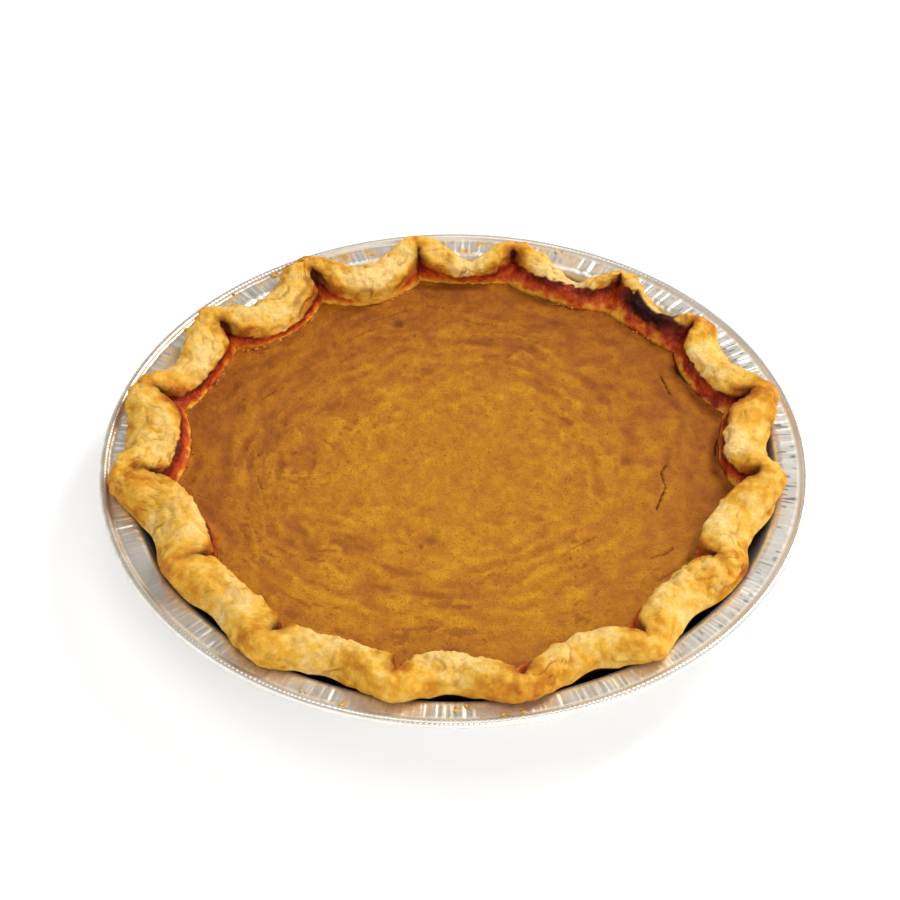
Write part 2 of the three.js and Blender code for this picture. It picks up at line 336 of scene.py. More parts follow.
def rim_stations():
    """The angles round the pie, and how the pastry's rim is shaped and baked at each of them."""
    columns = []
    for i, flute in enumerate(FLUTES):
        following = (i + 1) % len(FLUTES)
        turn = 0 if i + 1 < len(FLUTES) else 360
        halves = [(flute, BAKES[i], flute.bulge, flute.lobe, 0),
                  (FLUTES[following], BAKES[following], flute.lobe, FLUTES[following].bulge + turn, 1)]
        for bulge, bake, start, end, from_lobe in halves:
            share = 0.5 - 0.5 * np.cos(np.pi * np.arange(STEPS_PER_HALF_FLUTE) / STEPS_PER_HALF_FLUTE)
            to_lobe = abs(from_lobe - share)
            inward = fold_ease(to_lobe)
            bulging = 0.5 + 0.5 * np.cos(to_lobe * np.pi)
            crease_foot = min(CREASE_FOOT_RADIUS, bulge.crease - CREASE_FOOT_STEP)
            columns.append(np.stack([
                np.radians(mix(start, end, share)),
                bulging,
                inward,
                mix(flute.notch, bulge.reach, bulging),
                mix(bulge.crease, flute.lip, inward),
                mix(crease_foot, flute.foot, inward),
                mix(bake.crease_tide, BAKES[i].lobe_tide, inward),
                mix(bake.crease_dark, BAKES[i].lobe_dark, inward),
                mix(bake.glow, BAKES[i].glow, inward),
            ]))
    return Stations(*np.concatenate(columns, axis=1))


def guides_from(rows, count):
    """Rows of a radius and a height, each one value or one for each station, as one array."""
    return np.stack([np.stack([np.broadcast_to(v, count) for v in row], axis=-1) for row in rows], axis=1)


def bulge_guides(stations):
    outer, inner, foot = stations.outer, stations.inner, stations.foot
    middle = outer - ROPE_HALF_WIDTH
    return guides_from([
        (tin_wall_radius(PINCH_DEPTH) - TIN_GAP, PINCH_DEPTH),
        (tin_wall_radius(CORNER_BELOW) - TIN_GAP, CORNER_BELOW),
        (OPENING_RADIUS + TIN_GAP / 2, FLANGE_GAP),
        (outer - ROPE_UNDERCUT, FLANGE_GAP + TIN_GAP),
        (outer, 0.48 * ROPE_HEIGHT),
        (outer - ROPE_SHOULDER, 0.82 * ROPE_HEIGHT),
        (middle, ROPE_HEIGHT),
        (mix(middle, inner, 0.6), 0.92 * ROPE_HEIGHT),
        (inner, CREASE_HEIGHT),
        (mix(inner, foot, 0.45), 0.35 * CREASE_HEIGHT),
        (foot, FILLING_LEVEL),
    ], outer.size)


def lobe_guides(stations):
    outer, inner, foot = stations.outer, stations.inner, stations.foot
    in_tin = np.minimum(outer, OPENING_RADIUS)
    ridge = mix(inner, outer, RIDGE_SHARE)
    height = np.clip(LOBE_PER_WIDTH * (outer - inner), LOBE_LEAST, LOBE_MOST)
    return guides_from([
        (tin_wall_radius(PINCH_DEPTH) - PINCH_GAP, PINCH_DEPTH),
        (in_tin - CORNER_PINCH_GAP, CORNER_BELOW),
        (in_tin - NOTCH_UNDERCUT, FLANGE_GAP),
        (outer, NOTCH_HEIGHT),
        (mix(ridge, outer, 0.8), 0.48 * height),
        (mix(ridge, outer, 0.45), 0.84 * height),
        (ridge, height),
        (mix(ridge, inner, 0.65), 0.9 * height),
        (inner, 0.62 * height),
        (mix(inner, foot, 0.5), 0.2 * height),
        (foot, FILLING_LEVEL),
    ], outer.size)


def clear_of_tin(points):
    """Keeps the rim's section inside the tin's wall or above its flange."""
    radius, height = points[..., 0], points[..., 1]
    wall = tin_wall_radius(np.minimum(height, 0)) - TIN_GAP
    outside = radius > OPENING_RADIUS
    lifted = np.where(outside, np.maximum(height, FLANGE_GAP), height)
    held = np.where(~outside & (height < FLANGE_GAP), np.minimum(radius, wall), radius)
    return np.stack([held, lifted], axis=-1)


def smooth_section(guides, steps):
    """A centripetal spline through each station's guide points, and each point's place along them."""
    first = 2 * guides[:, :1] - guides[:, 1:2]
    last = 2 * guides[:, -1:] - guides[:, -2:-1]
    knots = np.concatenate([first, guides, last], axis=1)
    spans = np.sqrt(np.linalg.norm(np.diff(knots, axis=1), axis=2))
    parts, places = [], []
    for i, count in enumerate(steps):
        p0, p1, p2, p3 = (knots[:, i + k, None, :] for k in range(4))
        d0, d1, d2 = (spans[:, i + k, None, None] for k in range(3))
        out = ((p1 - p0) / d0 - (p2 - p0) / (d0 + d1) + (p2 - p1) / d1) * d1
        back = ((p2 - p1) / d1 - (p3 - p1) / (d1 + d2) + (p3 - p2) / d2) * d1
        t = (np.arange(count) / count)[None, :, None]
        cubic = (3 * (p2 - p1) - 2 * out - back) * t ** 2 + (2 * (p1 - p2) + out + back) * t ** 3
        parts.append(p1 + out * t + cubic)
        places.append(i + np.arange(count) / count)
    parts.append(guides[:, -1:])
    places.append([len(steps)])
    return np.concatenate(parts, axis=1), np.concatenate(places)


def turned(angles, sections):
    """Sections of radius and height, one for each angle, as points in space."""
    radius, height = sections[..., 0], sections[..., 1]
    angles = np.asarray(angles)[:, None]
    return np.stack([radius * np.cos(angles), radius * np.sin(angles), height + 0 * angles], axis=-1)


def grid_normals(points):
    """Outward normals of a turned grid that closes on itself along its first axis."""
    along = np.roll(points, -1, axis=0) - np.roll(points, 1, axis=0)
    across = np.gradient(points, axis=1)
    normals = np.cross(along, across)
    return normals / np.maximum(np.linalg.norm(normals, axis=-1, keepdims=True), 1e-9)


def turned_piece(name, points, bottom, top, masks, material, node=None):
    """A closed mesh of a turned grid, with its two ends on the axis at the bottom and top heights."""
    stations, rings = points.shape[:2]
    vertices = np.concatenate([[[0, 0, bottom]], points.reshape(-1, 3), [[0, 0, top]]])
    vertices[:, 2] += TIN_DEPTH
    here = 1 + np.arange(stations * rings).reshape(stations, rings)
    there = np.roll(here, -1, axis=0)
    quads = np.stack([here[:, :-1], there[:, :-1], there[:, 1:], here[:, 1:]], axis=-1).reshape(-1, 4)
    low = np.stack([np.zeros(stations, int), there[:, 0], here[:, 0]], axis=-1)
    high = np.stack([here[:, -1], there[:, -1], np.full(stations, len(vertices) - 1)], axis=-1)
    mesh = new_mesh(name, vertices * MM, [quads, low, high])
    for mask, values in masks.items():
        flat = np.concatenate([[0], np.broadcast_to(values, (stations, rings)).ravel(), [0]])
        attribute = mesh.attributes.new(mask, "FLOAT", "POINT")
        attribute.data.foreach_set("value", flat.astype(np.float32))
    return add_piece(name, mesh, material, node)


def new_mesh(name, vertices, face_groups):
    """A smooth mesh from an array of vertices and arrays of faces, each with one number of corners."""
    mesh = bpy.data.meshes.new(name)
    corners = np.concatenate([faces.ravel() for faces in face_groups])
    sizes = np.concatenate([np.full(len(faces), faces.shape[1]) for faces in face_groups])
    mesh.vertices.add(len(vertices))
    mesh.vertices.foreach_set("co", np.asarray(vertices, np.float32).ravel())
    mesh.loops.add(len(corners))
    mesh.loops.foreach_set("vertex_index", corners.astype(np.int32))
    mesh.polygons.add(len(sizes))
    mesh.polygons.foreach_set("loop_start", (np.cumsum(sizes) - sizes).astype(np.int32))
    mesh.polygons.foreach_set("loop_total", sizes.astype(np.int32))
    mesh.polygons.foreach_set("use_smooth", np.ones(len(sizes), bool))
    mesh.update(calc_edges=True)
    mesh.validate()
    return mesh


def add_piece(name, mesh, material, node=None):
    piece = bpy.data.objects.new(name, mesh)
    bpy.context.scene.collection.objects.link(piece)
    mesh.materials.append(material)
    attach(piece, "root")
    if node:
        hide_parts(node)
    return piece


def srgb(red, green, blue):
    """A colour given as it shows on a screen, from 0 to 255, in the renderer's linear values."""
    def linear(value):
        value /= 255
        return value / 12.92 if value <= 0.04045 else ((value + 0.055) / 1.055) ** 2.4
    return (linear(red), linear(green), linear(blue), 1)


class Paint:
    """A material's node tree, built up in short calls."""

    def __init__(self, name):
        self.material = bpy.data.materials.new(name)
        self.material.use_nodes = True
        self.tree = self.material.node_tree
        self.shader = self.tree.nodes["Principled BSDF"]
        self.place = self.node("ShaderNodeTexCoord").outputs["Object"]

    def node(self, kind, **settings):
        node = self.tree.nodes.new(kind)
        for key, value in settings.items():
            setattr(node, key, value)
        return node

    def feed(self, socket, value):
        if isinstance(value, bpy.types.NodeSocket):
            self.tree.links.new(value, socket)
        else:
            socket.default_value = value

    def mask(self, name):
        return self.node("ShaderNodeAttribute", attribute_name=name).outputs["Fac"]

    def noise(self, size_mm, detail, rough=0.5):
        node = self.node("ShaderNodeTexNoise")
        self.feed(node.inputs["Vector"], self.place)
        node.inputs["Scale"].default_value = 1 / (size_mm * MM)
        node.inputs["Detail"].default_value = detail
        node.inputs["Roughness"].default_value = rough
        return node.outputs["Fac"]

    def cells(self, size_mm, warp_mm):
        """Distance to the middle of the nearest of many uneven cells."""
        warp = self.node("ShaderNodeTexNoise")
        self.feed(warp.inputs["Vector"], self.place)
        warp.inputs["Scale"].default_value = 1 / (size_mm * MM)
        moved = self.node("ShaderNodeVectorMath", operation="MULTIPLY_ADD")
        for socket, value in zip(moved.inputs, (warp.outputs["Color"], (warp_mm * MM,) * 3, self.place)):
            self.feed(socket, value)
        node = self.node("ShaderNodeTexVoronoi", feature="SMOOTH_F1")
        self.feed(node.inputs["Vector"], moved.outputs["Vector"])
        node.inputs["Scale"].default_value = 1 / (size_mm * MM)
        node.inputs["Smoothness"].default_value = 0.3
        return node.outputs["Distance"]

    def math(self, operation, a, b):
        node = self.node("ShaderNodeMath", operation=operation)
        for socket, value in zip(node.inputs, (a, b)):
            self.feed(socket, value)
        return node.outputs["Value"]

    def span(self, value, low, high, to_low=0.0, to_high=1.0):
        """The value's run from low to high, stretched to another range and held at its ends."""
        node = self.node("ShaderNodeMapRange", interpolation_type="SMOOTHSTEP")
        for socket, number in zip(node.inputs, (value, low, high, to_low, to_high)):
            self.feed(socket, number)
        return node.outputs["Result"]

    def ramp(self, value, *stops):
        node = self.node("ShaderNodeValToRGB")
        elements = node.color_ramp.elements
        while len(elements) < len(stops):
            elements.new(0.5)
        for element, (position, colour) in zip(elements, stops):
            element.position = position
            element.color = colour
        self.feed(node.inputs["Fac"], value)
        return node.outputs["Color"]

    def blend(self, share, a, b):
        node = self.node("ShaderNodeMix", data_type="RGBA")
        self.feed(node.inputs[MIX_SHARE], share)
        self.feed(node.inputs[MIX_A], a)
        self.feed(node.inputs[MIX_B], b)
        return node.outputs[MIX_RESULT]

    def bump(self, height, distance_mm, strength):
        node = self.node("ShaderNodeBump")
        node.inputs["Strength"].default_value = strength
        node.inputs["Distance"].default_value = distance_mm * MM
        self.feed(node.inputs["Height"], height)
        self.tree.links.new(node.outputs["Normal"], self.shader.inputs["Normal"])

    def finish(self, **inputs):
        for name, value in inputs.items():
            self.feed(self.shader.inputs[name.replace("_", " ")], value)
        return self.material


def pastry_paint():
    """Dough from pale to toasted, with painted shade under the rope and in its creases, under a glaze from
    dark red to golden.
    """
    paint = Paint("baked_pastry")
    fine = paint.noise(1.1, 3)
    spots = paint.noise(2.6, 4, 0.6)
    medium = paint.noise(4.5, 3)
    broad = paint.noise(15, 2)
    cells = paint.cells(3.4, 3.0)
    toast = paint.math("ADD", paint.mask("toast"), paint.span(medium, 0.3, 0.7, -0.22, 0.22))
    toast = paint.math("ADD", toast, paint.span(broad, 0.3, 0.7, -0.15, 0.15))
    crust = paint.ramp(
        toast,
        (0.0, srgb(255, 219, 138)), (0.28, srgb(252, 204, 104)), (0.5, srgb(243, 187, 68)),
        (0.72, srgb(224, 154, 38)), (1.0, srgb(186, 96, 24)))
    crust = paint.blend(paint.span(fine, 0.35, 0.7, 0.0, 0.3), crust, srgb(208, 144, 50))
    crust = paint.blend(paint.span(spots, 0.62, 0.74, 0.0, 0.3), crust, srgb(252, 218, 144))
    crust = paint.blend(paint.math("MULTIPLY", paint.mask("crevice"), 0.8), crust, srgb(150, 80, 18))
    seams = paint.math("MULTIPLY", paint.span(cells, 0.42, 0.72), paint.span(broad, 0.38, 0.62, 0.03, 0.28))
    crust = paint.blend(seams, crust, srgb(196, 128, 40))
    # Painted shade under the rope and in its creases darkens the dough.
    crust = paint.blend(paint.mask("painted_shade"), crust, srgb(58, 20, 8))

    down = paint.math("ADD", paint.mask("wall_depth"), paint.span(medium, 0.3, 0.7, -0.12, 0.12))
    down = paint.math("ADD", down, paint.span(fine, 0.3, 0.7, -0.08, 0.08))
    caramel = paint.ramp(
        down,
        (0.0, srgb(84, 17, 6)), (0.22, srgb(148, 41, 12)), (0.42, srgb(194, 72, 20)),
        (0.62, srgb(214, 104, 28)), (0.8, srgb(228, 138, 36)), (1.0, srgb(244, 180, 58)))
    caramel = paint.blend(paint.mask("burnt"), caramel, srgb(40, 9, 5))
    glaze = paint.mask("glaze")
    colour = paint.blend(glaze, crust, caramel)
    puffs = paint.math("MULTIPLY", cells, paint.span(broad, 0.38, 0.62, -0.1, -0.7))
    paint.bump(paint.math("ADD", paint.noise(1.8, 6, 0.7), puffs), 1.3, 0.75)
    return paint.finish(
        Base_Color=colour,
        Roughness=paint.span(glaze, 0.1, 0.9, 0.66, 0.4),
        Specular_IOR_Level=0.14,
        Coat_Weight=paint.math("MULTIPLY", paint.math("SUBTRACT", glaze, paint.mask("burnt")), 0.15),
        Coat_Roughness=0.2)


def filling_paint():
    """Baked custard, browner towards its edge and in its hollows and paler on its crests, partly in its own
    colour and partly as painted shade and light.
    """
    paint = Paint("baked_custard")
    edge = paint.mask("edge")
    broad = paint.noise(16, 3)
    medium = paint.noise(5, 4, 0.6)
    fine = paint.noise(0.9, 3)
    specks = paint.noise(0.6, 1)
    dots = paint.noise(1.5, 1)
    relief = paint.mask("relief")
    # Browner towards the edge, partly its own colour and partly painted shade.
    tone = paint.math("SUBTRACT", 0.82, paint.span(edge, 0.3, 1.0, 0.0, 0.46))
    tone = paint.math("ADD", tone, paint.span(medium, 0.3, 0.7, -0.08, 0.08))
    tone = paint.math("ADD", tone, paint.span(broad, 0.3, 0.7, -0.06, 0.06))
    # Hollows of the relief are painted browner and its crests paler, partly the custard's colour and partly
    # painted shade and light.
    tone = paint.math("ADD", tone, paint.span(relief, -0.5, 0.5, -0.3, 0.26))
    colour = paint.ramp(
        tone,
        (0.0, srgb(136, 70, 21)), (0.3, srgb(162, 93, 21)), (0.6, srgb(184, 115, 21)),
        (0.85, srgb(200, 134, 21)), (1.0, srgb(211, 148, 23)))
    colour = paint.blend(paint.span(fine, 0.4, 0.7, 0.0, 0.3), colour, srgb(146, 82, 22))
    colour = paint.blend(paint.math("MULTIPLY", paint.mask("smeared"), 0.5), colour, srgb(136, 72, 18))
    colour = paint.blend(paint.span(specks, 0.63, 0.72, 0.0, 0.6), colour, srgb(96, 48, 12))
    colour = paint.blend(paint.span(dots, 0.69, 0.75, 0.0, 0.5), colour, srgb(104, 50, 14))
    colour = paint.blend(paint.math("MULTIPLY", paint.mask("reddish"), 0.75), colour, srgb(150, 74, 22))
    # The dips are painted browner, partly their own colour and partly painted shade.
    colour = paint.blend(paint.math("MULTIPLY", paint.mask("dipped"), 0.55), colour, srgb(130, 66, 22))
    colour = paint.blend(paint.mask("cracked"), colour, srgb(106, 50, 13))
    paint.bump(paint.noise(2.2, 6, 0.7), 1.4, 0.75)
    return paint.finish(Base_Color=colour, Roughness=0.46, Specular_IOR_Level=0.13)


def foil_paint():
    """Bright foil with golden stains, dirt and a painted brown reflection of the crust along its edge,
    elsewhere a groove painted pale, painted dark reflections on the flange and painted shade on the outside
    wall.
    """
    paint = Paint("foil")
    stain_noise = paint.noise(7, 4, 0.65)
    stain = paint.math("MULTIPLY", paint.mask("stained"), paint.span(stain_noise, 0.44, 0.58))
    crust_reflection_and_dirt = paint.math("MULTIPLY", paint.mask("crust_reflection_and_dirt"), paint.span(paint.noise(3.2, 3), 0.3, 0.6, 0.45, 1.0))
    metal = paint.ramp(paint.noise(9, 3), (0.3, srgb(236, 230, 218)), (0.7, srgb(250, 247, 240)))
    metal = paint.blend(paint.mask("shaded"), metal, srgb(176, 176, 174))
    # Painted dark reflections in the flange's crinkles.
    metal = paint.blend(paint.mask("painted_reflection_dashes"), metal, srgb(96, 98, 116))
    # Dirt and a painted brown reflection of the crust along the edge, most at the left.
    colour = paint.blend(crust_reflection_and_dirt, metal, srgb(166, 130, 84))
    # The groove is painted pale and dull away from the left, standing in for the light on it.
    colour = paint.blend(paint.mask("painted_groove_light"), colour, srgb(216, 209, 196))
    colour = paint.blend(stain, colour, srgb(196, 152, 70))
    dry = paint.math("MAXIMUM", stain, paint.math("MULTIPLY", crust_reflection_and_dirt, 0.5))
    dry = paint.math("MAXIMUM", dry, paint.math("MULTIPLY", paint.mask("painted_groove_light"), 0.8))
    paint.bump(paint.noise(0.8, 3), 0.12, 0.25)
    return paint.finish(
        Base_Color=colour,
        Metallic=paint.span(dry, 0.0, 1.0, 0.82, 0.15),
        Roughness=paint.span(dry, 0.0, 1.0, 0.32, 0.55))


def below_limit(height, limit, ease):
    """Heights that level off as they come within some ease of a limit."""
    over = np.maximum(height - limit + ease, 0)
    return np.where(over > 0, limit - ease + ease * np.tanh(over / ease), height)


def free_share(place):
    """How freely the surface leaves the smooth section, which stays plain where it starts and at its foot."""
    return np.clip(np.minimum((place - RELIEF_START) / RELIEF_EASE, (FOOT_PLACE - place) / FOOT_EASE), 0, 1)


def knobs_on(stations, place):
    """Height of the knobs and flakes that stand out of the pastry's rope."""
    degrees = np.degrees(stations.angle)[:, None]
    total = np.zeros((stations.angle.size, place.size))
    for angle, centre, reach, rise in KNOBS:
        away = (degrees - angle + 180) % 360 - 180
        total += rise * bell(away, 0, reach) * bell(place, centre, KNOB_LENGTH)
    return total


def crust_masks(stations, place, points):
    """Where the pastry is toasted, glazed with caramelised custard or burnt, and where deep shade is painted
    on it.
    """
    height = points[..., 2]
    inside = smoothstep(INSIDE_START, INSIDE_END, place)[None, :]
    # Caramelised custard clings to the wall up to a ragged line, darkest there and brighter below.
    tide = stations.tide[:, None] + 0.9 * point_noise(points, 3.4, 5) + 0.6 * point_noise(points, 1.3, 9)
    glaze = inside * smoothstep(-0.3, 0.3, tide - height)
    reach = np.maximum(stations.tide[:, None] - FILLING_LEVEL, 1.2)
    sunk_share = np.clip((stations.tide[:, None] - height) / reach, 0, 1)
    sunk_share = sunk_share ** (0.3 + 1.2 * stations.glow[:, None])
    ragged = 0.22 * point_noise(points, 5, 14) + 0.2 * point_noise(points, 2, 15)
    wall_depth = stations.glow[:, None] * sunk_share + 0.95 * (1 - stations.dark[:, None]) ** 2
    wall_depth = wall_depth + ragged * sunk_share + 0.26 * smoothstep(0.72, 1.0, sunk_share + ragged)
    burnt = bell(np.degrees(stations.angle)[:, None], BURN_ANGLE, BURN_SPREAD)
    burnt = burnt * smoothstep(1.4, 4.0, height + 1.5 * point_noise(points, 4, 3))
    # The dough is toasted most on the rope's outside, on its bulges, and next to creases and custard. Next to
    # the creases the darker colour is partly toasting and partly painted shade.
    outside = smoothstep(7.0, 4.6, place)[None, :]
    soaked = smoothstep(7.2, 8.7, place)[None, :]
    toast = 0.02 + 0.34 * outside + 0.36 * stations.bulging[:, None] + 0.22 * point_noise(points, 11, 6)
    crease_toast_and_shade = bell(stations.inward, 0, TOAST_AND_SHADE_SPREAD)[:, None] * smoothstep(5.7, 6.9, place)
    toast = toast + 0.45 * soaked + 0.5 * crease_toast_and_shade
    # Painted deep shade darkens the dough under the rope and in its creases.
    shade = smoothstep(0.9, -0.6, height) * smoothstep(4.5, 2.5, place)
    crease = bell(stations.inward, 0, CREASE_SHADE_SPREAD)[:, None]
    crease = crease * smoothstep(6.3, 7.3, place) * smoothstep(FOOT_PLACE, 9.2, place)
    return {
        "toast": toast,
        "glaze": glaze,
        "wall_depth": np.clip(wall_depth, 0, 1),
        "burnt": np.clip(1.5 * burnt, 0, 1) * glaze,
        "painted_shade": np.maximum(shade, 0.85 * crease),
    }


def crust_relief(stations, place, points, glaze):
    """How far the baked surface stands out of the smooth rope, and the lines of its small cracks."""
    free = free_share(place)
    dry = free * (1 - glaze)
    # Small cracks run where a wandering noise passes through zero.
    wander = points + 1.6 * np.stack([point_noise(points, 5, s) for s in (11, 17, 23)], axis=-1)
    line = np.abs(point_noise(wander, 6.5, 31))
    patch = smoothstep(0.0, 0.45, point_noise(points, 13, 41))
    crevice = smoothstep(0.075, 0.015, line) * patch * dry

    # Faint ribs run down the inside of the rope, where it was pressed.
    degrees = np.degrees(stations.angle)[:, None]
    along, down = degrees * MM_PER_DEGREE, points[..., 2] * RIB_STRETCH
    ribs = point_noise(np.stack(np.broadcast_arrays(along, down, 3.3), axis=-1), 2.4, 2)
    pressed = smoothstep(INSIDE_START, INSIDE_END, place) * dry * RIB_HEIGHT * ribs

    # The dough is wrinkled in patches, and most of all on two bulges at the left.
    folds = np.abs(point_noise(wander, 4.2, 51)) + 0.5 * np.abs(point_noise(wander, 2.1, 57))
    wrinkled_bulge = bell(degrees, 188, 9) + 0.7 * bell(degrees, 140, 7)
    wrinkled = np.clip(smoothstep(-0.35, 0.5, point_noise(points, 16, 61)) + wrinkled_bulge, 0, 1.3)

    # It is lumpy all over, with beads of syrup on its glaze and crumbs at the foot of the wall.
    rough = 0.85 * point_noise(points, 5.6, 1) + 0.6 * point_noise(points, 2.9, 2)
    rough = rough + 0.34 * point_noise(points, 1.4, 4)
    syrup = 0.25 + 0.35 * point_noise(points, 2.2, 71) + 0.2 * point_noise(points, 1.1, 73)
    at_foot = smoothstep(FOOT_PLACE - 1.2, FOOT_PLACE - 0.3, place)
    crumbly = at_foot * np.clip(point_noise(points, 1.2, 8), -0.3, 1)
    relief = free * (rough + syrup * glaze) + dry * knobs_on(stations, place)
    relief = relief + dry * WRINKLE_HEIGHT * wrinkled * (folds - 0.45)
    relief = relief - CREVICE_DEPTH * crevice + pressed + 0.4 * crumbly
    valleys = 0.7 * dry * np.clip(wrinkled, 0, 1) * smoothstep(0.24, 0.05, folds)
    return relief, np.maximum(crevice, valleys)


def make_crust():
    """The baked pastry, whose rim is modelled finely and whose hidden lining is plain."""
    stations = rim_stations()
    count = stations.angle.size
    bulging = stations.bulging[:, None, None]
    guides = clear_of_tin(mix(lobe_guides(stations), bulge_guides(stations), bulging))
    section, place = smooth_section(guides, SECTION_STEPS)
    section = clear_of_tin(section)

    # The rope is pinched together at each crease, which leaves a narrow dark slit on its inside.
    slit = bell(stations.inward, 0, SLIT_SPREAD)[:, None]
    slit = slit * smoothstep(6.6, 8, place) * smoothstep(FOOT_PLACE, 8.6, place)
    section[..., 0] += SLIT_DEPTH * slit

    lump = free_share(place) * LUMP_HEIGHT * point_noise(turned(stations.angle, section), LUMP_SIZE)
    section = section + np.stack([0.6 * lump, lump], axis=-1)
    points = turned(stations.angle, section)
    masks = crust_masks(stations, place, points)
    relief, masks["crevice"] = crust_relief(stations, place, points, masks["glaze"])
    points = points + grid_normals(points) * relief[..., None]
    points[..., 2] = below_limit(points[..., 2], TOP_LIMIT, TOP_EASE)

    underside = FOIL_THICKNESS + TIN_GAP - TIN_DEPTH
    floor = underside + PASTRY_THICKNESS
    bend = tin_wall_radius(WALL_BEND) - TIN_GAP
    wall = [(BASE_RADIUS - BASE_CORNER - TIN_GAP, underside), (bend, WALL_BEND)]
    lining = [(bend - WALL_THICKNESS, WALL_BEND), (BASE_RADIUS - TIN_GAP - PASTRY_THICKNESS, floor)]
    hidden = [turned(stations.angle, np.broadcast_to(rows, (count, 2, 2))) for rows in (wall, lining)]
    whole = np.concatenate([hidden[0], points, hidden[1]], axis=1)
    for name, values in masks.items():
        values = np.broadcast_to(values, points.shape[:2])
        masks[name] = np.pad(values, ((0, 0), (len(wall), len(lining))), mode="edge")
    turned_piece("crust_baked", whole, underside, floor, masks, pastry_paint(), "crust")
    return stations


def filling_relief(x, y, share):
    """Height of the custard's skin over its level, and its masks."""
    radius = np.hypot(x, y)
    swell = SWELL_HEIGHT * noise(x / SWELL_LENGTH, y / SWELL_LENGTH)
    turn = np.arctan2(y, x)
    warp = 6.5 * noise(x / 19, y / 19, 7.3) + 2 * noise(x / 7, y / 7, 2.1)

    def streaks(width, warped, start, spread):
        """Noise in streaks that run round the middle of the pie."""
        return noise((radius + warped * warp) / width, start + spread * np.cos(turn), spread * np.sin(turn))

    ring = np.sin(TAU * (radius + warp) / RIPPLE_SPACING)
    band = bell(radius, RIPPLE_RADIUS, RIPPLE_SPREAD)
    patch = smoothstep(-0.35, 0.45, noise(x / 12, y / 12, 4.4))
    ripples = RIPPLE_HEIGHT * ring * band * (0.12 + 0.88 * patch)
    strokes = STROKE_HEIGHT * streaks(3.2, 0.5, 30, 9) * smoothstep(14, 34, radius)
    strokes = strokes * smoothstep(-0.6, 0.4, noise(x / 19, y / 19, 9.2))
    dimples = 0.15 * noise(x / 4.8, y / 4.8, 1.7) + 0.16 * noise(x / 2.3, y / 2.3, 6.1) + strokes
    fine = 0.07 * noise(x / 1.1, y / 1.1, 8.8)
    smear = streaks(1.5, 0.7, 50, 10) + 0.5 * noise(x / 1.6, y / 1.6, 2.9)
    smeared = smoothstep(0.36, 0.6, smear) * smoothstep(-0.1, 0.3, noise(x / 14, y / 14, 5.5))
    smeared = smeared * smoothstep(22, 46, radius)
    crest = np.abs(streaks(2.9, 1, 30, 6.5))
    crest = np.clip(1 - 3 * crest, 0, 1) * smoothstep(22, 40, radius) * smoothstep(88, 72, radius)
    crest = crest * smoothstep(-0.35, 0.25, noise(x / 16, y / 16, 3.3))
    relief = ripples + dimples + CREST_HEIGHT * (crest - 0.3) - SMEAR_DEPTH * smeared

    dipped = np.zeros_like(x)
    for dip_x, dip_y, length, width, depth in DIPS:
        dip_radius = math.hypot(dip_x, dip_y)
        across = radius - dip_radius
        along = ((y - dip_y) * dip_x - (x - dip_x) * dip_y) / dip_radius
        hollow = bell(across, 0, width) * bell(along, 0, 0.6 * length)
        relief = relief - depth * hollow
        dipped = np.maximum(dipped, 2 * depth * hollow)

    cracked = np.zeros_like(x)
    groove = np.zeros_like(x)
    for line, width, depth in CRACKS:
        ragged = CRACK_WIDTH * width * (1 + 0.45 * noise(x / 1.8, y / 1.8, 3.9))
        gap = smoothstep(1.0, 0.4, nearest_on_line(x, y, line)[0] / ragged)
        cracked = np.maximum(cracked, gap * min(1, depth))
        groove = np.maximum(groove, gap * depth)
    for pit_x, pit_y, size in PITS:
        gap = smoothstep(1.2, 0.3, np.hypot(x - pit_x, y - pit_y) / size)
        cracked = np.maximum(cracked, 0.7 * gap)
        groove = np.maximum(groove, 0.5 * gap)

    blister_x, blister_y, length, width, rise = BLISTER
    blister = smoothstep(1.1, 0.5, np.hypot((x - blister_x) / length, (y - blister_y) / width))
    relief = relief * (1 - blister) + rise * 0.5 * blister
    settle = -EDGE_SETTLE * smoothstep(0.93, 1.0, share)
    masks = {"relief": relief, "cracked": cracked, "reddish": blister,
             "dipped": np.clip(dipped, 0, 1), "smeared": smeared}
    return swell + relief + fine + settle - groove, masks


